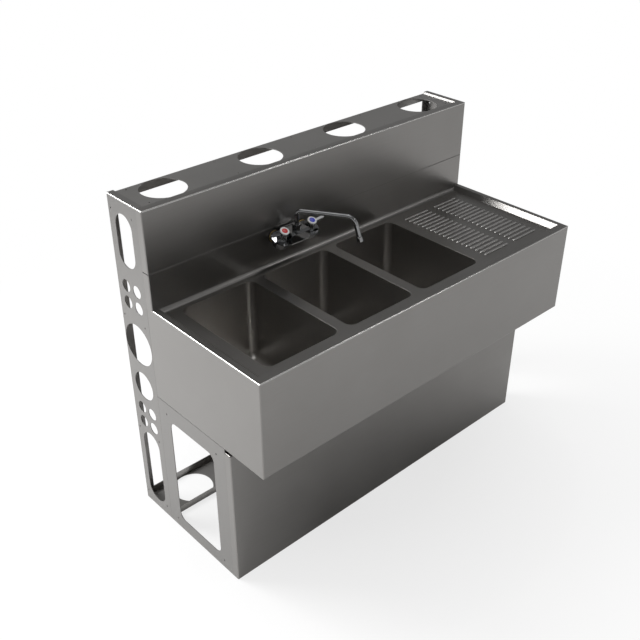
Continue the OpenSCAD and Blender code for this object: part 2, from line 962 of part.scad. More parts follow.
// Puts its children on a valve's axis, with the origin at the shank's height
module at_valve(side) {
    translate([faucet_x + side * valve_pitch / 2, y_splash - valve_out, z_shank])
        rotate([valve_tilt, 0, 0])
            children();
}

module faucet_body() {
    y = [y_splash - body_out[1], y_splash - body_out[0]];
    z = [z_shank + body_h[0], z_shank + body_h[1]];
    depth = y[1] - y[0];
    height = z[1] - z[0];
    color(chrome)
        difference() {
            union() {
                // Block between the valves, with its front edges cut off
                translate([faucet_x - body_l / 2, y[0], z[0]])
                    rotate([90, 0, 90])
                        linear_extrude(body_l)
                            polygon([[chamfer, 0], [depth, 0], [depth, height],
                                [chamfer, height], [0, height - chamfer], [0, chamfer]]);
                for (side = [-1, 1]) {
                    at_valve(side)
                        rotate([0, 0, 180 / boss_flats])
                            translate([0, 0, boss_h[0]])
                                cylinder(d1 = boss_low_d, d2 = boss_top_d,
                                    h = boss_h[1] - boss_h[0], $fn = boss_flats);
                    translate([faucet_x + side * valve_pitch / 2, y[1], z_shank])
                        rotate([90, 0, 0])
                            cylinder(d = inlet_d, h = valve_out - body_out[0]);
                }
                translate([faucet_x, y_riser, z[1] - chamfer])
                    cylinder(d = seat_d, h = seat_h + chamfer);
            }
            for (side = [-1, 1]) {
                at_valve(side) {
                    translate([0, 0, valve_bore_floor])
                        cylinder(d = valve_bore_d, h = unit_d);
                    // Flat seat of the bonnet
                    translate([0, 0, boss_h[1]])
                        cylinder(d = bonnet_low_d + 2 * fit_gap, h = unit_d);
                }
                drill_y([faucet_x + side * valve_pitch / 2, y_splash, z_shank],
                    shank_bore_d, 2 * valve_out);
            }
            drill_x([faucet_x, y_riser, z_shank], gallery_d, valve_pitch);
            translate([faucet_x, y_riser, z[1] + seat_h - socket_depth])
                cylinder(d = spout_d + 2 * run_gap, h = socket_depth + over);
            translate([faucet_x, y_riser, z_shank])
                cylinder(d = gallery_d, h = height);
            translate([faucet_x, y_riser, z[1] + seat_h - seal_h])
                cylinder(d = seal_d + 2 * run_gap, h = seal_h + over);
        }
}

// One shank: a flange behind the body, a threaded tube through the splash and the
// smaller thread for the supply's nut
module shank(side) {
    translate([faucet_x + side * valve_pitch / 2, y_splash - body_out[0], z_shank])
        rotate([-90, 0, 0])
            color("darkgoldenrod")
                difference() {
                    union() {
                        cylinder(d = shank_d, h = shank_l - supply_l);
                        cylinder(d = supply_d, h = shank_l);
                        cylinder(d = shank_flange_d, h = body_out[0] - shank_gasket_t);
                    }
                    translate([0, 0, -over])
                        cylinder(d = shank_bore_d, h = shank_l + 2 * over);
                }
}

module shank_gasket(side) {
    color("dimgray")
        translate([faucet_x + side * valve_pitch / 2, y_splash - shank_gasket_t, z_shank])
            rotate([-90, 0, 0])
                difference() {
                    cylinder(d = shank_gasket_d, h = shank_gasket_t);
                    translate([0, 0, -over])
                        cylinder(d = shank_d + 2 * fit_gap, h = shank_gasket_t + 2 * over);
                }
}

// The locknuts bear on the back of the splash
module shank_locknuts() {
    color("darkgoldenrod")
        for (side = [-1, 1])
            translate([faucet_x + side * valve_pitch / 2, y_splash + sink_t, z_shank])
                rotate([-90, 0, 0])
                    difference() {
                        cylinder(d = shank_nut_d, h = shank_nut_h, $fn = 6);
                        translate([0, 0, -over])
                            cylinder(d = shank_d + 2 * run_gap, h = shank_nut_h + 2 * over);
                    }
}

module bonnet(side) {
    foot = boss_h[1];
    color(chrome)
        at_valve(side)
            difference() {
                union() {
                    translate([0, 0, foot])
                        cylinder(d1 = bonnet_low_d, d2 = bonnet_top_d, h = bonnet_top - foot);
                    cylinder(d = valve_bore_d - 2 * run_gap, h = foot);
                }
                translate([0, 0, -over])
                    cylinder(d = stem_foot_d + 2 * run_gap, h = over + stem_foot_h);
                cylinder(d = stem_d + 2 * run_gap, h = bonnet_top + over);
            }
}

// The stem turns in the bonnet, held by its foot
module stem(side) {
    color("darkgoldenrod")
        at_valve(side)
            difference() {
                union() {
                    translate([0, 0, stem_foot_h - end_gap - 2 * stem_foot_h])
                        cylinder(d = stem_foot_d, h = 2 * stem_foot_h);
                    cylinder(d = stem_d, h = stem_top);
                }
                translate([0, 0, bonnet_top])
                    cylinder(d = screw_d + 2 * run_gap, h = stem_top);
            }
}

module lever(side) {
    z_hub = bonnet_top + end_gap;
    z_top = z_hub + hub_h;
    color(chrome)
        at_valve(side)
            difference() {
                union() {
                    translate([0, 0, z_hub])
                        cylinder(d = hub_d, h = hub_h);
                    translate([0, 0, z_hub + lever_t / 2])
                        mirror([side < 0 ? 1 : 0, 0, 0])
                            rotate([0, -lever_rise, 0])
                                translate([0, 0, -lever_t / 2]) {
                                    translate([0, -lever_w / 2, 0])
                                        cube([lever_l - lever_w / 2, lever_w, lever_t]);
                                    translate([lever_l - lever_w / 2, 0, 0])
                                        cylinder(d = lever_w, h = lever_t);
                                }
                }
                translate([0, 0, z_hub - over])
                    cylinder(d = stem_d + 2 * run_gap, h = stem_top - z_hub + over + run_gap);
                translate([0, 0, z_hub])
                    cylinder(d = screw_d + 2 * run_gap, h = hub_h + over);
                translate([0, 0, z_top - screw_head_h])
                    cylinder(d = screw_head_d + 2 * fit_gap, h = screw_head_h + over);
            }
}

module handle_screw(side) {
    z_head = bonnet_top + end_gap + hub_h - screw_head_h;
    color("gray")
        at_valve(side) {
            translate([0, 0, z_head])
                cylinder(d = screw_head_d, h = screw_head_h);
            translate([0, 0, bonnet_top])
                cylinder(d = screw_d, h = z_head - bonnet_top);
        }
}

module index_ring(side) {
    z = bonnet_top + end_gap + hub_h;
    color("white")
        at_valve(side)
            difference() {
                translate([0, 0, z])
                    cylinder(d = ring_d, h = ring_h);
                translate([0, 0, z + ring_h - button_h])
                    cylinder(d = button_d, h = button_h + over);
            }
}

module index_button(side) {
    z = bonnet_top + end_gap + hub_h + ring_h - button_h;
    color(side < 0 ? "crimson" : "royalblue")
        at_valve(side)
            translate([0, 0, z])
                cylinder(d = button_d - 2 * run_gap, h = button_h + button_crown);
}

// The spout turns in the body's seat. The collar keeps it down under the nut.

module spout_nut() {
    z_seat = z_shank + body_h[1];
    translate([faucet_x, y_riser, z_seat])
        color(chrome)
            difference() {
                cylinder(d = nut_d, h = nut_h, $fn = nut_flats);
                translate([0, 0, -over])
                    cylinder(d = seat_d + 2 * run_gap, h = nut_h - nut_wall + over);
                cylinder(d = spout_d + 2 * run_gap, h = nut_h + over);
            }
}

module spout_seal() {
    translate([faucet_x, y_riser, z_shank + body_h[1] + seat_h - seal_h])
        color("black")
            difference() {
                cylinder(d = seal_d, h = seal_h);
                translate([0, 0, -over])
                    cylinder(d = spout_d + 2 * run_gap, h = seal_h + 2 * over);
            }
}

module spout_collar() {
    z_top = z_shank + body_h[1] + nut_h - nut_wall;
    translate([faucet_x, y_riser, z_top - collar_h - end_gap])
        color(chrome)
            difference() {
                cylinder(d = collar_d, h = collar_h);
                translate([0, 0, -over])
                    cylinder(d = spout_d, h = collar_h + 2 * over);
            }
}

module spout_section(d = spout_d, wall = spout_wall) {
    difference() {
        circle(d = d);
        circle(d = d - 2 * wall);
    }
}

// Puts its children at the start of the straight outlet, which runs along +Z
module at_outlet() {
    translate([faucet_x, y_riser, 0])
        rotate([0, 0, spout_angle])
            translate([0, -spout_run, z_spout - spout_bend_r])
                rotate([90, 0, 90])
                    rotate([0, 0, 90 + outlet_turn])
                        translate([spout_bend_r, 0, 0])
                            rotate([-90, 0, 0])
                                children();
}

// Riser, elbow, level run and bend, drawn straight ahead along -Y. The bend runs on
// into the wall of the outlet.
module spout_path() {
    z_foot = z_shank + body_h[1] + seat_h - socket_depth + run_gap;
    rise = z_spout - elbow_r - z_foot;
    run = spout_run - elbow_r;
    translate([0, 0, z_foot])
        linear_extrude(rise)
            spout_section();
    translate([0, -elbow_r, z_spout - elbow_r])
        rotate([90, 0, 90])
            rotate_extrude(angle = 90)
                translate([elbow_r, 0])
                    spout_section();
    translate([0, -elbow_r, z_spout])
        rotate([90, 0, 0])
            linear_extrude(run)
                spout_section();
    translate([0, -spout_run, z_spout - spout_bend_r])
        rotate([90, 0, 90])
            rotate([0, 0, 90])
                rotate_extrude(angle = outlet_turn + outlet_lap)
                    translate([spout_bend_r, 0])
                        spout_section();
}

module spout_tube() {
    color(chrome) {
        translate([faucet_x, y_riser, 0])
            rotate([0, 0, spout_angle])
                spout_path();
        at_outlet()
            linear_extrude(outlet_l)
                spout_section(outlet_d, outlet_wall);
    }
}

module aerator() {
    at_outlet()
        translate([0, 0, outlet_l - aerator_grip])
            color(chrome)
                difference() {
                    cylinder(d = aerator_d, h = aerator_l);
                    translate([0, 0, -over])
                        cylinder(d = outlet_d, h = aerator_grip + over);
                    cylinder(d = outlet_d - 2 * outlet_wall, h = aerator_l + over);
                }
}

color(steel) end_plate();  // left_end_plate
color(steel) right_hand() end_plate();  // right_end_plate
top_channel();
bottom_channel();
upper_splash_panel();
seam_rail();
sink_top();
front_apron();
side_apron();  // left_apron
right_hand() side_apron();  // right_apron
bowl(0);  // left_bowl
bowl(1);  // middle_bowl
bowl(2);  // right_bowl
stiffener(-1);  // left_drainboard_stiffener
stiffener(1);  // right_drainboard_stiffener
drain_body(0);  // left_drain_body
drain_body(1);  // middle_drain_body
drain_body(2);  // right_drain_body
drain_gasket(0);  // left_drain_gasket
drain_gasket(1);  // middle_drain_gasket
drain_gasket(2);  // right_drain_gasket
drain_locknut(0);  // left_drain_locknut
drain_locknut(1);  // middle_drain_locknut
drain_locknut(2);  // right_drain_locknut
coupling_nut(0);  // left_coupling_nut
coupling_nut(1);  // middle_coupling_nut
coupling_nut(2);  // right_coupling_nut
tailpiece(0);  // left_tailpiece
tailpiece(1);  // middle_tailpiece
tailpiece(2);  // right_tailpiece
base_side();  // left_base_side
right_hand() base_side();  // right_base_side
kick_panel();
frame_bolts();
frame_nuts();
faucet_body();
shank(-1);  // hot_shank
shank(1);  // cold_shank
shank_gasket(-1);  // hot_shank_gasket
shank_gasket(1);  // cold_shank_gasket
shank_locknuts();
bonnet(-1);  // hot_bonnet
bonnet(1);  // cold_bonnet
stem(-1);  // hot_stem
stem(1);  // cold_stem
lever(-1);  // hot_lever
lever(1);  // cold_lever
handle_screw(-1);  // hot_handle_screw
handle_screw(1);  // cold_handle_screw
index_ring(-1);  // hot_index_ring
index_ring(1);  // cold_index_ring
index_button(-1);  // hot_index_button
index_button(1);  // cold_index_button
spout_nut();
spout_seal();
spout_tube();
spout_collar();
aerator();
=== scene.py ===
"""Three-bowl bar sink with a ribbed drainboard, a wall-mounted faucet and a hollow wall."""
import json
import math

import bmesh
import bpy
from mathutils import Vector
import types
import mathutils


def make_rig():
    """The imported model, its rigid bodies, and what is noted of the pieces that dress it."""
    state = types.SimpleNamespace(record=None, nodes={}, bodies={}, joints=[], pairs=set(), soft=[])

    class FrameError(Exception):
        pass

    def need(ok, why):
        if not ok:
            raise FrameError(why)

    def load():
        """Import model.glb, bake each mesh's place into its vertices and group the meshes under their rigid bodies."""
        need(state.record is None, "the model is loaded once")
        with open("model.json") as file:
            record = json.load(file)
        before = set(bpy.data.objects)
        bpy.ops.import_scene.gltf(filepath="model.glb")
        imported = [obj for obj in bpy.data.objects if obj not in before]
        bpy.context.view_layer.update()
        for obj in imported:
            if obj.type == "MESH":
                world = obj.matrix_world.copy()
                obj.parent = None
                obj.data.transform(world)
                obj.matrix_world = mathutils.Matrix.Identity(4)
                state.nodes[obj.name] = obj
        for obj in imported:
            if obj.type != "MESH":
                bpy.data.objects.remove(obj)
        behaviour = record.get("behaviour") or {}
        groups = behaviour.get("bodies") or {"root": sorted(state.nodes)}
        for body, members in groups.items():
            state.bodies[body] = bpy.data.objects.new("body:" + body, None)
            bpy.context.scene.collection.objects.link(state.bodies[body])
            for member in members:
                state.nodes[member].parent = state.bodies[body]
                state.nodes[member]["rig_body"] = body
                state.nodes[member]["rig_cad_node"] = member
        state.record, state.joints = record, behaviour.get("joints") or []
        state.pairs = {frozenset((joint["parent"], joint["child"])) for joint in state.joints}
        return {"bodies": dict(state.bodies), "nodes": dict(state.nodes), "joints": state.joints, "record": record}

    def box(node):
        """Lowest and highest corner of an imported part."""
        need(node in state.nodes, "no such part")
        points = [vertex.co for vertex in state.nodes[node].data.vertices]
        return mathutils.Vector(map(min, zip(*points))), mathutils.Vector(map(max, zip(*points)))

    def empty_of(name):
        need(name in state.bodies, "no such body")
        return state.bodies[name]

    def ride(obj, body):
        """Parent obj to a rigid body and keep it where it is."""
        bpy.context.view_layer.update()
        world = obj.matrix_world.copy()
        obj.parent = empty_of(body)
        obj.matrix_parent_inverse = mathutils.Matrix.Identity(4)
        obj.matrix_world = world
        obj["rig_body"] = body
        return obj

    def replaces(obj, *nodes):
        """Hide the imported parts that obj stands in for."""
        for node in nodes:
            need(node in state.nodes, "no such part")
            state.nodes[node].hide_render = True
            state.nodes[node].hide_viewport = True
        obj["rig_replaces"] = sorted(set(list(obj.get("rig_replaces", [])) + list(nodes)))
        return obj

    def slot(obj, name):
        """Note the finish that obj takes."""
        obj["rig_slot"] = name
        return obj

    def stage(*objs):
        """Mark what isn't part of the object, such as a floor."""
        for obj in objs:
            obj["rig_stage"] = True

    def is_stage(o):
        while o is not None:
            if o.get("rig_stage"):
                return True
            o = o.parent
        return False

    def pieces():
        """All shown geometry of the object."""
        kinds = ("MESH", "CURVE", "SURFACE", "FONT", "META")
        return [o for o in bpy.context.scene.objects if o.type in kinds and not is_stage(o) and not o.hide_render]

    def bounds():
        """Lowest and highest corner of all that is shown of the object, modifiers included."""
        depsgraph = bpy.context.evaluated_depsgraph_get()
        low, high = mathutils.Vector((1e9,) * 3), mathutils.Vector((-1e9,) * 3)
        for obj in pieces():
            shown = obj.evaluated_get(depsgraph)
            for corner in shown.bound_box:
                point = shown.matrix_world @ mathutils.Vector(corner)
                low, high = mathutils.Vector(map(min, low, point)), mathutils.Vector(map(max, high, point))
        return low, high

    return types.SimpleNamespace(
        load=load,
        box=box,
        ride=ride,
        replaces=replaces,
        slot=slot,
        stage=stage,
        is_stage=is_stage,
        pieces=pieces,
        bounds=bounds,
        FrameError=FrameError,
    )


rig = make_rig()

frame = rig.load()
nodes = frame["nodes"]
cad_low, cad_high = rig.bounds()
bpy.ops.object.select_all(action="DESELECT")

# Wall frame and base: channels, the rail behind the seam, the drainboard's
# stiffeners and the two base sides. They are folded from 2 mm stainless sheet, left
# with the mill's own fine grain, and bolted together.


def sheet_grain():
    """Grain of rolled and brushed sheet, read in the piece's own coordinates."""
    group = bpy.data.node_groups.new("sheet grain", "ShaderNodeTree")
    group.interface.new_socket("Vector", in_out="INPUT", socket_type="NodeSocketVector")
    group.interface.new_socket("Grain", in_out="INPUT", socket_type="NodeSocketVector")
    group.interface.new_socket("Streaks", in_out="OUTPUT", socket_type="NodeSocketFloat")
    group.interface.new_socket("Handling", in_out="OUTPUT", socket_type="NodeSocketFloat")
    group.interface.new_socket("Height", in_out="OUTPUT", socket_type="NodeSocketFloat")
    add, join = group.nodes.new, group.links.new
    put_in, put_out = add("NodeGroupInput"), add("NodeGroupOutput")
    stretch = add("ShaderNodeVectorMath")
    stretch.operation = "MULTIPLY"
    join(put_in.outputs["Vector"], stretch.inputs[0])
    join(put_in.outputs["Grain"], stretch.inputs[1])
    streaks = add("ShaderNodeTexNoise")
    streaks.inputs["Scale"].default_value = 1.0
    streaks.inputs["Detail"].default_value = 3.0
    streaks.inputs["Roughness"].default_value = 0.65
    join(stretch.outputs[0], streaks.inputs["Vector"])
    handling = add("ShaderNodeTexNoise")
    handling.inputs["Scale"].default_value = 5.0
    handling.inputs["Detail"].default_value = 4.0
    join(put_in.outputs["Vector"], handling.inputs["Vector"])
    join(streaks.outputs["Fac"], put_out.inputs["Streaks"])
    join(handling.outputs["Fac"], put_out.inputs["Handling"])
    join(streaks.outputs["Fac"], put_out.inputs["Height"])
    return group


grain = sheet_grain()


def brushed(name, dark, light, rough, grain_scale, relief):
    """Stainless sheet between two greys, with its grain along one axis."""
    made = bpy.data.materials.new(name)
    made.use_nodes = True
    tree = made.node_tree
    add, join = tree.nodes.new, tree.links.new
    metal = tree.nodes["Principled BSDF"]
    metal.inputs["Metallic"].default_value = 1.0
    place = add("ShaderNodeTexCoord")
    lines = add("ShaderNodeGroup")
    lines.node_tree = grain
    lines.inputs["Grain"].default_value = grain_scale
    join(place.outputs["Object"], lines.inputs["Vector"])
    mixed = add("ShaderNodeMath")
    mixed.operation = "MULTIPLY_ADD"
    mixed.inputs[1].default_value = 0.5
    join(lines.outputs["Streaks"], mixed.inputs[0])
    half = add("ShaderNodeMath")
    half.operation = "MULTIPLY"
    half.inputs[1].default_value = 0.5
    join(lines.outputs["Handling"], half.inputs[0])
    join(half.outputs[0], mixed.inputs[2])
    tone = add("ShaderNodeValToRGB")
    tone.color_ramp.elements[0].position = 0.3
    tone.color_ramp.elements[0].color = (*dark, 1.0)
    tone.color_ramp.elements[1].position = 0.7
    tone.color_ramp.elements[1].color = (*light, 1.0)
    join(mixed.outputs[0], tone.inputs["Fac"])
    join(tone.outputs["Color"], metal.inputs["Base Color"])
    gloss = add("ShaderNodeMapRange")
    gloss.inputs["From Min"].default_value = 0.3
    gloss.inputs["From Max"].default_value = 0.7
    gloss.inputs["To Min"].default_value = rough[0]
    gloss.inputs["To Max"].default_value = rough[1]
    join(mixed.outputs[0], gloss.inputs["Value"])
    join(gloss.outputs["Result"], metal.inputs["Roughness"])
    bump = add("ShaderNodeBump")
    bump.inputs["Strength"].default_value = relief
    bump.inputs["Distance"].default_value = 0.0002
    join(lines.outputs["Height"], bump.inputs["Height"])
    join(bump.outputs["Normal"], metal.inputs["Normal"])
    return made


def finish_node(name, material):
    """Gives a CAD node its finish."""
    for place in nodes[name].material_slots:
        place.material = material


# Painted light: one mill steel in two greys, darker on the upright sheets and lighter on the level channels and
# stiffeners, for how light falls on them.
mill_upright_shaded = brushed("mill_steel_upright_shaded", (0.25, 0.243, 0.236), (0.28, 0.273, 0.265),
                       (0.34, 0.40), (900.0, 900.0, 12.0), 0.10)
mill_level_lit = brushed("mill_steel_level_lit", (0.31, 0.302, 0.292), (0.35, 0.342, 0.333),
                     (0.34, 0.40), (12.0, 900.0, 900.0), 0.10)
for name in ("left_base_side", "right_base_side"):
    finish_node(name, mill_upright_shaded)
for name in ("top_channel", "bottom_channel", "left_drainboard_stiffener",
             "right_drainboard_stiffener"):
    finish_node(name, mill_level_lit)
finish_node("seam_rail", brushed("matt_steel", (0.42, 0.41, 0.40), (0.46, 0.45, 0.44),
                                 (0.90, 0.95), (12.0, 900.0, 900.0), 0.10))

# Aprons and kick panel. They are 1.5 mm stainless sheet with a satin
# finish brushed along the length. The aprons are welded under the sink's rim.
satin = brushed("satin_steel", (0.25, 0.242, 0.233), (0.285, 0.277, 0.268),
                (0.30, 0.36), (10.0, 1100.0, 1100.0), 0.12)
for name in ("front_apron", "left_apron", "right_apron", "kick_panel"):
    finish_node(name, satin)

# Sink top: rim, sloped sides, deck with its pressed ribs, cove and splash, all one
# satin sheet. Its folds and the tops of its ribs are round.


def smooth_rounds(piece, smooth):
    """Shades round faces smooth and keeps wide flat faces flat right up to their folds."""
    bpy.ops.object.select_all(action="DESELECT")
    piece.select_set(True)
    bpy.context.view_layer.objects.active = piece
    bpy.ops.mesh.customdata_custom_splitnormals_clear()
    bpy.ops.object.shade_smooth()
    bpy.ops.object.mode_set(mode="EDIT")
    bpy.ops.mesh.select_mode(type="EDGE")
    bpy.ops.mesh.select_all(action="DESELECT")
    bpy.ops.mesh.edges_select_sharp(sharpness=math.radians(smooth))
    bpy.ops.mesh.mark_sharp()
    bpy.ops.object.mode_set(mode="OBJECT")
    even = piece.modifiers.new("flat faces", "WEIGHTED_NORMAL")
    even.mode, even.weight, even.keep_sharp = "FACE_AREA", 100, True
    bpy.ops.object.modifier_apply(modifier=even.name)
    piece.select_set(False)


def merged_copy(name, node, body, slot, smooth=35.0):
    """A copy of a CAD node with its triangles joined and its round faces smooth."""
    piece = nodes[node].copy()
    piece.data = nodes[node].data.copy()
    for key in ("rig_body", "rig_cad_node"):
        del piece[key]
    piece.parent = None
    bpy.context.scene.collection.objects.link(piece)
    piece.name = name
    bpy.ops.object.select_all(action="DESELECT")
    piece.select_set(True)
    bpy.context.view_layer.objects.active = piece
    bpy.ops.object.mode_set(mode="EDIT")
    bpy.ops.mesh.select_all(action="SELECT")
    bpy.ops.mesh.remove_doubles(threshold=0.000002)
    bpy.ops.mesh.dissolve_limited(angle_limit=math.radians(0.3))
    bpy.ops.object.mode_set(mode="OBJECT")
    smooth_rounds(piece, smooth)
    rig.ride(piece, body)
    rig.slot(piece, slot)
    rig.replaces(piece, node)
    return piece


def dress(piece, material):
    """Gives a new piece its material."""
    piece.data.materials.clear()
    piece.data.materials.append(material)


sheet = merged_copy("sink_top_sheet", "sink_top", "unit", "sink_steel")
dress(sheet, satin)
# Painted highlight: the rim's folds, the splash's top edge and the tops of the ribs take a much lighter, glossier
# steel, so they show as bright lines of light.
highlight_steel = brushed("painted_highlight_steel", (0.66, 0.65, 0.635), (0.74, 0.73, 0.715),
               (0.20, 0.26), (10.0, 700.0, 700.0), 0.02)
sheet_low, sheet_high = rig.box("sink_top")
rim_over_apron, deck_drop, fold, seam_edge = 0.003, 0.014, 0.0035, 0.0005
rim_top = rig.box("left_apron")[1].z + rim_over_apron
deck_z = rim_top - deck_drop
ribs_left, ribs_right, ribs_rear = 0.26, 0.57, 0.12
rib_side_low, rib_side_high = deck_z + 0.0015, rim_top - 0.002


def paint_highlight(piece, test):
    """Gives the faces whose middle and normal pass a test the lighter steel that paints a highlight on them."""
    piece.data.materials.append(highlight_steel)
    for face in piece.data.polygons:
        if test(face.center, face.normal):
            face.material_index = 1


def on_sink_fold(spot, normal):
    """Rim folds, the splash's top edge and the upper sides of the ribs, which take the painted highlight."""
    up = abs(normal.z)
    at_edge = (spot.x < sheet_low.x + fold or spot.x > sheet_high.x - fold
               or spot.y < sheet_low.y + fold)
    at_rim = at_edge and rim_top - fold < spot.z < rim_top + 0.0001 and 0.15 < up < 0.99
    at_seam = spot.z > sheet_high.z - seam_edge
    in_ribs = ribs_left < spot.x < ribs_right and spot.y < ribs_rear
    at_rib = in_ribs and rib_side_low < spot.z < rib_side_high and up > 0.7
    return at_rim or at_seam or at_rib


paint_highlight(sheet, on_sink_fold)


def apply_all(piece, smooth=35.0):
    """Applies a piece's modifiers in order and smooths its round faces."""
    bpy.ops.object.select_all(action="DESELECT")
    piece.select_set(True)
    bpy.context.view_layer.objects.active = piece
    for step in [m.name for m in piece.modifiers]:
        bpy.ops.object.modifier_apply(modifier=step)
    smooth_rounds(piece, smooth)


def ease_edges(piece, width, angle):
    """Adds a small bevel to the edges that turn by more than an angle."""
    ease = piece.modifiers.new("eased edges", "BEVEL")
    ease.width, ease.segments, ease.limit_method = width, 2, "ANGLE"
    ease.angle_limit = math.radians(angle)


def eased_copy(name, node, body, slot, material, width, smooth=35.0):
    """A joined copy of a CAD node with its sharp edges eased."""
    piece = merged_copy(name, node, body, slot, smooth)
    dress(piece, material)
    ease_edges(piece, width, 28.0)
    apply_all(piece, smooth)
    return piece


# Upper splash panel: a satin sheet hooked over the wall's top channel. Its front fold and the hem behind it carry a
# painted highlight in lighter steel.
panel = eased_copy("upper_splash_sheet", "upper_splash_panel", "unit", "sink_steel",
                   satin, 0.0005)
panel_low, panel_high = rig.box("upper_splash_panel")
paint_highlight(panel, lambda spot, normal: spot.z > panel_high.z - fold
     and 0.05 < abs(normal.z) < 0.995)
# It stands a little above the sink's own splash: the seam across the wall
seam_gap, seam_reach = 0.0024, 0.005
for corner in panel.data.vertices:
    rise = corner.co.z - panel_low.z
    if rise < seam_reach:
        corner.co.z = panel_low.z + seam_gap + rise * (1 - seam_gap / seam_reach)

# End plates: the mill-finished sheets that close the wall left and right, with a painted highlight in lighter steel
# along the hems on top.
hem_t = 0.0045
for hand in ("left", "right"):
    plate = eased_copy(hand + "_end_sheet", hand + "_end_plate", "unit", "frame_steel",
                       mill_upright_shaded, 0.0005)
    hem_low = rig.box(hand + "_end_plate")[1].z - hem_t
    paint_highlight(plate, lambda spot, normal: spot.z > hem_low
         and abs(normal.y) < 0.5 and abs(normal.z) < 0.995)

# Bowls: each is drawn from one sheet, with round corners, a round bottom edge, a
# recess for the drain and a rim that is welded under the deck.
# Painted light: the bowls' steel is a lighter grey than the deck's satin, to offset the shade inside the bowls.
drawn = brushed("drawn_steel_lightened", (0.43, 0.418, 0.402), (0.48, 0.467, 0.45),
                (0.30, 0.36), (700.0, 700.0, 10.0), 0.12)


def pick(piece, kind, test):
    """Selects the faces, edges or vertices that pass a test, and nothing else."""
    bpy.ops.mesh.select_mode(type=kind)
    bpy.ops.mesh.select_all(action="DESELECT")
    mesh = bmesh.from_edit_mesh(piece.data)
    parts = {"VERT": mesh.verts, "EDGE": mesh.edges, "FACE": mesh.faces}[kind]
    parts.ensure_lookup_table()
    mesh.normal_update()
    for part in parts:
        if test(part):
            part.select_set(True)
    mesh.select_flush_mode()
    bmesh.update_edit_mesh(piece.data)


def middle_of(edge):
    """The middle of an edge."""
    return (edge.verts[0].co + edge.verts[1].co) / 2


def settle(piece):
    """Puts a piece's place, turn and scale into its mesh."""
    bpy.ops.object.mode_set(mode="OBJECT")
    bpy.ops.object.select_all(action="DESELECT")
    piece.select_set(True)
    bpy.context.view_layer.objects.active = piece
    bpy.ops.object.transform_apply(location=True, rotation=True, scale=True)


bowl_rim, bowl_wall, bowl_corner = 0.009, 0.0015, 0.024
recess_r, recess_depth, hole_r = 0.040, 0.003, 0.0242
bottom_inset, bottom_margin, level = 0.006, 0.0065, 1e-5
low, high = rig.box("left_bowl")
floor_z = low.z + bowl_wall + recess_depth
inside = Vector((high.x - low.x - 2 * bowl_rim, high.y - low.y - 2 * bowl_rim,
                 high.z - floor_z))
centre = Vector(((low.x + high.x) / 2, (low.y + high.y) / 2, (floor_z + high.z) / 2))
bpy.ops.mesh.primitive_cube_add(size=1.0, location=centre, scale=inside)
bowl = bpy.context.object
bowl.name = "left_bowl_shell"
settle(bowl)
bpy.ops.object.mode_set(mode="EDIT")
pick(bowl, "FACE", lambda f: f.normal.z > 0.9)
bpy.ops.mesh.delete(type="ONLY_FACE")
pick(bowl, "EDGE", lambda e: middle_of(e).z < high.z - 0.01)
bpy.ops.mesh.bevel(offset=bowl_corner, segments=10, affect="EDGES")
# Bottom with the drain's recess
pick(bowl, "FACE", lambda f: f.normal.z < -0.9999 and f.calc_area() > 0.02)
bpy.ops.mesh.inset(thickness=bottom_inset)
bpy.ops.mesh.subdivide(number_cuts=11)
reach_x = inside.x / 2 - bowl_corner - bottom_margin
reach_y = inside.y / 2 - bowl_corner - bottom_margin
pick(bowl, "FACE", lambda f: f.normal.z < -0.9999
     and abs(f.calc_center_median().x - centre.x) < reach_x
     and abs(f.calc_center_median().y - centre.y) < reach_y)
bpy.ops.mesh.delete(type="FACE")
bpy.ops.mesh.select_all(action="DESELECT")
bpy.ops.mesh.primitive_circle_add(vertices=48, radius=recess_r,
                                  location=(centre.x, centre.y, floor_z))
pick(bowl, "EDGE", lambda e: (e.is_boundary or e.is_wire)
     and abs(middle_of(e).z - floor_z) < level)
bpy.ops.mesh.bridge_edge_loops()
pick(bowl, "EDGE", lambda e: e.is_boundary and abs(middle_of(e).z - floor_z) < level)
bpy.ops.mesh.extrude_edges_move(TRANSFORM_OT_translate={"value": (0, 0, -recess_depth)})
bpy.ops.mesh.extrude_edges_move(TRANSFORM_OT_translate={"value": (0, 0, 0)})
bpy.ops.transform.resize(value=(hole_r / recess_r, hole_r / recess_r, 1.0),
                         center_override=(centre.x, centre.y, floor_z - recess_depth))
# Rim under the deck
pick(bowl, "EDGE", lambda e: e.is_boundary and middle_of(e).z > high.z - 0.001)
bpy.ops.mesh.extrude_edges_move(TRANSFORM_OT_translate={"value": (0, 0, 0)})
wider, deeper = 1 + 2 * bowl_rim / inside.x, 1 + 2 * bowl_rim / inside.y
bpy.ops.transform.resize(value=(wider, deeper, 1.0), center_override=centre)
bpy.ops.mesh.select_all(action="SELECT")
bpy.ops.mesh.normals_make_consistent(inside=False)
bpy.ops.object.mode_set(mode="OBJECT")
skin = bowl.modifiers.new("sheet", "SOLIDIFY")
skin.thickness, skin.offset = bowl_wall, 1.0
apply_all(bowl)
dress(bowl, drawn)
for node in ("middle_bowl", "right_bowl"):
    other = bowl.copy()
    other.data = bowl.data.copy()
    other.name = node + "_shell"
    bpy.context.scene.collection.objects.link(other)
    other.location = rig.box(node)[0] - low
    settle(other)
    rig.ride(other, "unit")
    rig.slot(other, "bowl_steel")
    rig.replaces(other, node)
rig.ride(bowl, "unit")
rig.slot(bowl, "bowl_steel")
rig.replaces(bowl, "left_bowl")

# Drains: a chromed strainer with its grid sits in each bowl's recess, on a rubber
# gasket. A brass locknut holds it from below, and a coupling nut holds the tailpiece.


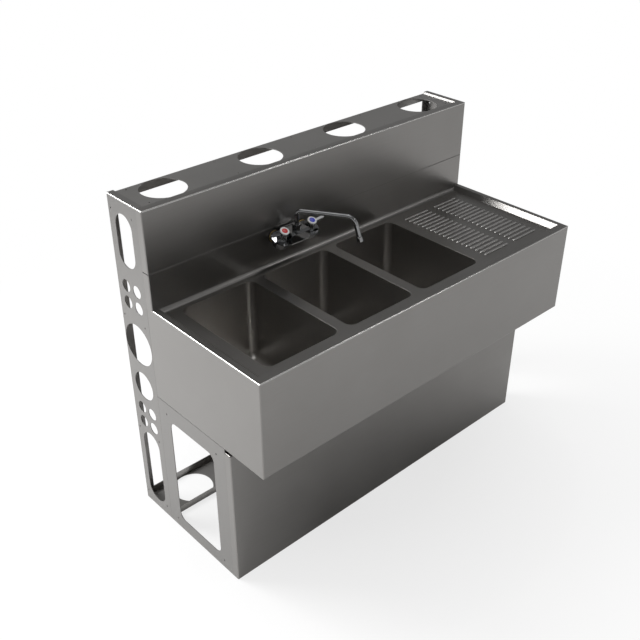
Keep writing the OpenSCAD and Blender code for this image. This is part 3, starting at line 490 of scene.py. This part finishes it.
def hand_smears():
    """Smears as one faint mottle, read in the piece's own coordinates; the same mottle gives the height."""
    group = bpy.data.node_groups.new("hand smears", "ShaderNodeTree")
    group.interface.new_socket("Vector", in_out="INPUT", socket_type="NodeSocketVector")
    group.interface.new_socket("Scale", in_out="INPUT", socket_type="NodeSocketFloat")
    group.interface.new_socket("Smears", in_out="OUTPUT", socket_type="NodeSocketFloat")
    group.interface.new_socket("Height", in_out="OUTPUT", socket_type="NodeSocketFloat")
    add, join = group.nodes.new, group.links.new
    put_in, put_out = add("NodeGroupInput"), add("NodeGroupOutput")
    mottle = add("ShaderNodeTexNoise")
    mottle.inputs["Detail"].default_value = 3.0
    join(put_in.outputs["Vector"], mottle.inputs["Vector"])
    join(put_in.outputs["Scale"], mottle.inputs["Scale"])
    join(mottle.outputs["Fac"], put_out.inputs["Smears"])
    join(mottle.outputs["Fac"], put_out.inputs["Height"])
    return group


smears = hand_smears()


def turned(name, dark, light, rough, tint_scale, relief):
    """Polished or turned metal with faint smears, whose mottle also gives a faint relief."""
    made = bpy.data.materials.new(name)
    made.use_nodes = True
    tree = made.node_tree
    add, join = tree.nodes.new, tree.links.new
    metal = tree.nodes["Principled BSDF"]
    metal.inputs["Metallic"].default_value = 1.0
    place = add("ShaderNodeTexCoord")
    marks = add("ShaderNodeGroup")
    marks.node_tree = smears
    marks.inputs["Scale"].default_value = tint_scale
    join(place.outputs["Object"], marks.inputs["Vector"])
    tone = add("ShaderNodeValToRGB")
    tone.color_ramp.elements[0].position = 0.35
    tone.color_ramp.elements[0].color = (*dark, 1.0)
    tone.color_ramp.elements[1].position = 0.65
    tone.color_ramp.elements[1].color = (*light, 1.0)
    join(marks.outputs["Smears"], tone.inputs["Fac"])
    join(tone.outputs["Color"], metal.inputs["Base Color"])
    gloss = add("ShaderNodeMapRange")
    gloss.inputs["From Min"].default_value = 0.35
    gloss.inputs["From Max"].default_value = 0.65
    gloss.inputs["To Min"].default_value = rough[0]
    gloss.inputs["To Max"].default_value = rough[1]
    join(marks.outputs["Smears"], gloss.inputs["Value"])
    join(gloss.outputs["Result"], metal.inputs["Roughness"])
    bump = add("ShaderNodeBump")
    bump.inputs["Strength"].default_value = relief
    bump.inputs["Distance"].default_value = 0.0001
    join(marks.outputs["Height"], bump.inputs["Height"])
    join(bump.outputs["Normal"], metal.inputs["Normal"])
    return made


def dull(name, dark, light, rough, scale, relief):
    """Rubber or moulded plastic with a faint mottle."""
    made = turned(name, dark, light, rough, scale, relief)
    made.node_tree.nodes["Principled BSDF"].inputs["Metallic"].default_value = 0.0
    return made


chrome = turned("chrome", (0.27, 0.275, 0.28), (0.32, 0.323, 0.325),
                (0.04, 0.08), 60.0, 0.02)
brass = turned("turned_brass", (0.50, 0.37, 0.16), (0.60, 0.46, 0.22),
               (0.26, 0.38), 90.0, 0.15)
rubber = dull("black_rubber", (0.018, 0.018, 0.018), (0.032, 0.031, 0.030),
              (0.6, 0.75), 300.0, 0.3)
for hand in ("left", "middle", "right"):
    for made, node, slot, metal in (("strainer", "drain_body", "chrome", chrome),
                                    ("flat_gasket", "drain_gasket", "rubber", rubber),
                                    ("lugged_nut", "drain_locknut", "brass", brass),
                                    ("slip_nut", "coupling_nut", "brass", brass),
                                    ("tail_tube", "tailpiece", "chrome", chrome)):
        eased_copy(hand + "_" + made, hand + "_" + node, "unit", slot, metal, 0.0004)

# Faucet body: one chromed casting with a block between two eight-sided valve bosses,
# on brass shanks with a rubber gasket each against the splash.
eased_copy("faucet_casting", "faucet_body", "unit", "chrome", chrome, 0.0006, 20.0)
for hand in ("hot", "cold"):
    eased_copy(hand + "_threaded_shank", hand + "_shank", "unit", "brass", brass, 0.0004)
    eased_copy(hand + "_splash_gasket", hand + "_shank_gasket", "unit", "rubber",
               rubber, 0.0004)
    eased_copy(hand + "_valve_stem", hand + "_stem", hand + "_handle", "brass",
               brass, 0.0002)
eased_copy("shank_hex_nuts", "shank_locknuts", "unit", "brass", brass, 0.0004)

# Bonnets: chromed cones with flutes and a plain collar at the foot. Each is screwed
# into its boss and holds the valve's stem.
valve_tilt = math.radians(25.0)
valve_x, valve_y, valve_z = 0.0508, 0.105, 0.829
faucet_x = (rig.box("faucet_body")[0].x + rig.box("faucet_body")[1].x) / 2


def at_valve(piece, side):
    """Tilts a piece made upright at the origin onto a valve and settles it there."""
    bpy.ops.object.mode_set(mode="OBJECT")
    piece.rotation_euler = (valve_tilt, 0.0, 0.0)
    piece.location = (faucet_x + side * valve_x, valve_y, valve_z)
    settle(piece)


flutes, foot_r = 14, 0.0145
foot_z, shoulder_z, neck_z = 0.006, 0.0105, 0.0247
neck_share, groove_share = 0.70, 0.88
for hand, side in (("hot", -1), ("cold", 1)):
    bpy.ops.mesh.primitive_cylinder_add(vertices=2 * flutes, radius=foot_r,
                                        depth=neck_z - foot_z,
                                        location=(0.0, 0.0, (neck_z + foot_z) / 2))
    cone = bpy.context.object
    cone.name = hand + "_fluted_bonnet"
    settle(cone)
    bpy.ops.object.mode_set(mode="EDIT")
    # A plain collar at the foot, then the cone
    bpy.ops.mesh.select_all(action="SELECT")
    bpy.ops.mesh.bisect(plane_co=(0.0, 0.0, shoulder_z), plane_no=(0.0, 0.0, 1.0))
    pick(cone, "VERT", lambda v: v.co.z > neck_z - 1e-5)
    bpy.ops.transform.resize(value=(neck_share, neck_share, 1.0),
                             center_override=(0.0, 0.0, neck_z))
    pick(cone, "VERT", lambda v: v.co.z > shoulder_z - 1e-5 and
         round(math.atan2(v.co.y, v.co.x) / math.pi * flutes) % 2 == 0)
    bpy.ops.transform.resize(value=(groove_share, groove_share, 1.0),
                             center_override=(0.0, 0.0, 0.0))
    bpy.ops.mesh.select_all(action="SELECT")
    bpy.ops.mesh.normals_make_consistent(inside=False)
    bpy.ops.object.mode_set(mode="OBJECT")
    ease_edges(cone, 0.0003, 24.0)
    at_valve(cone, side)
    apply_all(cone, 20.0)
    dress(cone, chrome)
    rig.ride(cone, "unit")
    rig.slot(cone, "chrome")
    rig.replaces(cone, hand + "_bonnet")

# Levers: a fluted hub on the stem with one flat arm that ends round, cast in one and
# chromed. The hot one points left at rest and the cold one right.
hub_r, hub_low, hub_high, hub_groove_share = 0.0105, 0.025, 0.034, 0.92
arm_l, arm_w, arm_t, arm_rise = 0.046, 0.009, 0.005, math.radians(8.0)
for hand, side in (("hot", -1), ("cold", 1)):
    bpy.ops.mesh.primitive_cube_add(size=1.0, location=(arm_l / 2, 0.0, arm_t / 2),
                                    scale=(arm_l, arm_w, arm_t))
    arm = bpy.context.object
    settle(arm)
    bpy.ops.object.mode_set(mode="EDIT")
    pick(arm, "EDGE", lambda e: abs(e.verts[0].co.z - e.verts[1].co.z) > 0.001
         and middle_of(e).x > arm_l - 0.001)
    bpy.ops.mesh.bevel(offset=arm_w / 2 - 0.0001, segments=8, affect="EDGES")
    pick(arm, "FACE", lambda f: f.normal.z > 0.9)
    bpy.ops.mesh.bevel(offset=0.0012, segments=3, affect="EDGES")
    pick(arm, "FACE", lambda f: f.normal.z < -0.9)
    bpy.ops.mesh.bevel(offset=0.0006, segments=2, affect="EDGES")
    bpy.ops.object.mode_set(mode="OBJECT")
    arm.rotation_euler = (0.0, -arm_rise, 0.0)
    arm.location = (0.0, 0.0, hub_low)
    settle(arm)
    bpy.ops.mesh.primitive_cylinder_add(vertices=2 * flutes, radius=hub_r,
                                        depth=hub_high - hub_low,
                                        location=(0.0, 0.0, (hub_high + hub_low) / 2))
    hub = bpy.context.object
    hub.name = hand + "_lever_handle"
    settle(hub)
    bpy.ops.object.mode_set(mode="EDIT")
    pick(hub, "VERT", lambda v:
         round(math.atan2(v.co.y, v.co.x) / math.pi * flutes) % 2 == 0)
    bpy.ops.transform.resize(value=(hub_groove_share, hub_groove_share, 1.0),
                             center_override=(0.0, 0.0, 0.0))
    bpy.ops.object.mode_set(mode="OBJECT")
    arm.select_set(True)
    hub.select_set(True)
    bpy.context.view_layer.objects.active = hub
    bpy.ops.object.join()
    if side < 0:
        hub.scale = (-1.0, 1.0, 1.0)
        settle(hub)
        bpy.ops.object.mode_set(mode="EDIT")
        bpy.ops.mesh.select_all(action="SELECT")
        bpy.ops.mesh.normals_make_consistent(inside=False)
    at_valve(hub, side)
    apply_all(hub, 25.0)
    dress(hub, chrome)
    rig.ride(hub, hand + "_handle")
    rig.slot(hub, "chrome")
    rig.replaces(hub, hand + "_lever", hand + "_handle_screw")

# Index caps: a white moulded ring round a domed coloured disc, red for hot and blue
# for cold. They snap into the lever over its screw.
white_cap = dull("white_plastic", (0.90, 0.90, 0.89), (0.94, 0.94, 0.93),
                 (0.25, 0.35), 120.0, 0.05)
red_cap = dull("red_plastic", (0.62, 0.012, 0.014), (0.70, 0.020, 0.020),
               (0.22, 0.32), 120.0, 0.05)
blue_cap = dull("blue_plastic", (0.03, 0.05, 0.55), (0.05, 0.075, 0.65),
                (0.22, 0.32), 120.0, 0.05)
ring_r, disc_r, ring_low, ring_high = 0.0135, 0.0085, 0.034, 0.037
well, crown, play = 0.002, 0.001, 0.00005
for hand, side, colour, slot in (("hot", -1, red_cap, "hot_red"),
                                 ("cold", 1, blue_cap, "cold_blue")):
    bpy.ops.mesh.primitive_cylinder_add(vertices=64, radius=ring_r,
                                        depth=ring_high - ring_low,
                                        location=(0.0, 0.0, (ring_low + ring_high) / 2))
    ring = bpy.context.object
    ring.name = hand + "_index_cap"
    settle(ring)
    bpy.ops.object.mode_set(mode="EDIT")
    pick(ring, "FACE", lambda f: f.normal.z > 0.9)
    bpy.ops.mesh.inset(thickness=ring_r - disc_r)
    bpy.ops.mesh.extrude_region_move(TRANSFORM_OT_translate={"value": (0, 0, -well)})
    pick(ring, "EDGE", lambda e: abs(e.verts[0].co.z - ring_high) < 1e-6
         and abs(e.verts[1].co.z - ring_high) < 1e-6
         and min(v.co.xy.length for v in e.verts) > ring_r - 1e-4)
    bpy.ops.mesh.bevel(offset=0.0009, segments=4, affect="EDGES")
    at_valve(ring, side)
    apply_all(ring)
    dress(ring, white_cap)
    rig.ride(ring, hand + "_handle")
    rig.slot(ring, "index_white")
    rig.replaces(ring, hand + "_index_ring")
    bpy.ops.mesh.primitive_cylinder_add(vertices=64, radius=disc_r - play,
                                        depth=well + crown / 2,
                                        location=(0.0, 0.0, ring_high - well / 2 + crown / 4))
    disc = bpy.context.object
    disc.name = hand + "_index_disc"
    settle(disc)
    bpy.ops.object.mode_set(mode="EDIT")
    for share, rise in ((0.30, 0.28), (0.35, 0.16), (0.45, 0.06)):
        pick(disc, "FACE", lambda f: f.normal.z > 0.9 and len(f.verts) > 40)
        bpy.ops.mesh.inset(thickness=share * disc_r * 0.8)
        bpy.ops.transform.translate(value=(0.0, 0.0, rise * crown))
    at_valve(disc, side)
    apply_all(disc)
    dress(disc, colour)
    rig.ride(disc, hand + "_handle")
    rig.slot(disc, slot)
    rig.replaces(disc, hand + "_index_button")

# Spout: a bent chromed tube that swings in the body's seat, kept down by a nut over
# its collar, with a rubber seal round its foot and a knurled aerator at its outlet.
spout = merged_copy("bent_spout", "spout_tube", "spout", "chrome", 30.0)
dress(spout, chrome)
eased_copy("spout_stop_ring", "spout_collar", "spout", "chrome", chrome, 0.0002)
eased_copy("spout_hex_nut", "spout_nut", "unit", "chrome", chrome, 0.0006, 20.0)
eased_copy("spout_ring_seal", "spout_seal", "unit", "rubber", rubber, 0.0004)
eased_copy("aerator_shell", "aerator", "spout", "chrome", chrome, 0.0005)

# Bolts and nuts that hold the frame, the base and the sink together: plain hexagon
# steel, dulled.
zinc = turned("dull_zinc", (0.36, 0.355, 0.35), (0.44, 0.435, 0.43), (0.30, 0.42), 180.0, 0.1)
eased_copy("hex_bolts", "frame_bolts", "unit", "bolt_steel", zinc, 0.0004)
eased_copy("hex_nuts", "frame_nuts", "unit", "bolt_steel", zinc, 0.0004)

# Camera, where the photograph was taken from. Its place and line of sight come from
# the photograph's own perspective.
camera = bpy.data.objects.new("camera", bpy.data.cameras.new("camera"))
bpy.context.scene.collection.objects.link(camera)
camera.data.lens = 50.0
camera.data.sensor_width = 36.0
camera.data.clip_end = 50.0
camera.location = (-1.613188, -1.598825, 1.951302)
sight = Vector((0.572487, 0.624943, -0.530759))
camera.rotation_mode = "QUATERNION"
camera.rotation_quaternion = sight.to_track_quat("-Z", "Y")
bpy.context.scene.camera = camera

# Pale studio floor. It shows white to the camera and in the steel, and it keeps the
# unit's shadow.
bpy.ops.mesh.primitive_plane_add(size=30.0, location=(0.0, 0.0, -0.0005))
floor = bpy.context.object
floor.name = "studio_floor"
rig.stage(floor)
pale = bpy.data.materials.new("pale_floor")
pale.use_nodes = True
tree = pale.node_tree
tree.nodes["Principled BSDF"].inputs["Base Color"].default_value = (0.85, 0.85, 0.85, 1.0)
tree.nodes["Principled BSDF"].inputs["Roughness"].default_value = 0.9


def worked_out(tree, operation, first, second):
    """The result of a Math node that two sockets or numbers feed."""
    made = tree.nodes.new("ShaderNodeMath")
    made.operation = operation
    for value, feed in ((first, made.inputs[0]), (second, made.inputs[1])):
        if isinstance(value, float):
            feed.default_value = value
        else:
            tree.links.new(value, feed)
    return made.outputs[0]


def ranged(tree, value, near, far, low, high):
    """A distance turned into an amount, from low when near to high when far."""
    made = tree.nodes.new("ShaderNodeMapRange")
    made.inputs["From Min"].default_value = near
    made.inputs["From Max"].default_value = far
    made.inputs["To Min"].default_value = low
    made.inputs["To Max"].default_value = high
    tree.links.new(value, made.inputs["Value"])
    return made.outputs["Result"]


rays = tree.nodes.new("ShaderNodeLightPath").outputs
seen = worked_out(tree, "MAXIMUM", rays["Is Camera Ray"], rays["Is Glossy Ray"])
seen = worked_out(tree, "MAXIMUM", seen, rays["Is Transmission Ray"])
spot = tree.nodes.new("ShaderNodeTexCoord")
reach = tree.nodes.new("ShaderNodeVectorMath")
reach.operation = "LENGTH"
tree.links.new(spot.outputs["Object"], reach.inputs[0])
glow = tree.nodes["Principled BSDF"]
glow.inputs["Emission Color"].default_value = (1.0, 1.0, 1.0, 1.0)
# Painted shadow: the glow fades close to the unit, which darkens the floor round its foot and keeps the foot of the
# kick panel dark
close = ranged(tree, reach.outputs["Value"], 0.30, 0.75, 0.0, 1.0)
faded = worked_out(tree, "MULTIPLY", worked_out(tree, "MULTIPLY", seen, 0.25), close)
tree.links.new(faded, glow.inputs["Emission Strength"])
# The camera sees the floor fade to plain white round the unit, with its shadow kept
whiter = ranged(tree, reach.outputs["Value"], 0.7, 1.9, 0.72, 1.0)
share = worked_out(tree, "MULTIPLY", rays["Is Camera Ray"], whiter)
white = tree.nodes.new("ShaderNodeEmission")
white.inputs["Strength"].default_value = 1.0
blend = tree.nodes.new("ShaderNodeMixShader")
tree.links.new(share, blend.inputs["Fac"])
tree.links.new(glow.outputs["BSDF"], blend.inputs[1])
tree.links.new(white.outputs["Emission"], blend.inputs[2])
tree.links.new(blend.outputs["Shader"], tree.nodes["Material Output"].inputs["Surface"])
floor.data.materials.append(pale)

# Studio: pale walls, greyer higher up, with a bright lamp field overhead. The camera
# sees it plain white.
world = bpy.data.worlds.new("studio")
bpy.context.scene.world = world
world.use_nodes = True
tree = world.node_tree
place = tree.nodes.new("ShaderNodeTexCoord")
split = tree.nodes.new("ShaderNodeSeparateXYZ")
tree.links.new(place.outputs["Generated"], split.inputs[0])
fade = tree.nodes.new("ShaderNodeValToRGB")
stops = fade.color_ramp.elements
stops[0].position = 0.10
stops[0].color = (0.55, 0.55, 0.55, 1.0)
stops[1].position = 0.30
stops[1].color = (0.32, 0.32, 0.32, 1.0)
for height, grey in ((0.42, 0.2), (0.8, 0.16), (0.92, 1.0)):
    stops.new(height).color = (grey, grey, grey, 1.0)
tree.links.new(split.outputs["Z"], fade.inputs["Fac"])
tree.links.new(fade.outputs["Color"], tree.nodes["Background"].inputs["Color"])
backdrop = tree.nodes.new("ShaderNodeBackground")
backdrop.inputs["Color"].default_value = (1.0, 1.0, 1.0, 1.0)
to_camera = tree.nodes.new("ShaderNodeLightPath")
chosen = tree.nodes.new("ShaderNodeMixShader")
tree.links.new(to_camera.outputs["Is Camera Ray"], chosen.inputs["Fac"])
tree.links.new(tree.nodes["Background"].outputs["Background"], chosen.inputs[1])
tree.links.new(backdrop.outputs["Background"], chosen.inputs[2])
tree.links.new(chosen.outputs["Shader"], tree.nodes["World Output"].inputs["Surface"])
bpy.context.scene.view_settings.view_transform = "Standard"


def soft_box(name, place, aim, size, power):
    """A square soft box that faces a point."""
    data = bpy.data.lights.new(name, "AREA")
    data.shape = "SQUARE"
    data.size = size
    data.energy = power
    lamp = bpy.data.objects.new(name, data)
    bpy.context.scene.collection.objects.link(lamp)
    lamp.location = place
    lamp.rotation_mode = "QUATERNION"
    lamp.rotation_quaternion = (Vector(aim) - Vector(place)).to_track_quat("-Z", "Y")


soft_box("key", (-1.7, 2.0, 2.8), (0.0, 0.0, 0.7), 1.4, 80.0)
soft_box("front fill", (2.6, -2.4, 3.2), (0.0, 0.0, 0.7), 0.5, 8.0)
soft_box("faucet light", (0.75, 0.35, 2.2), (-0.1, 0.0, 0.9), 0.2, 0.9)
soft_box("drainboard light", (-1.08, 1.84, 3.8), (0.58, -0.1, 0.74), 0.95, 31.0)

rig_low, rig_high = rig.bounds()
json.dump({"cad": [list(cad_low), list(cad_high)], "visual": [list(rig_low), list(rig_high)]},
          open("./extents.json", "w"))
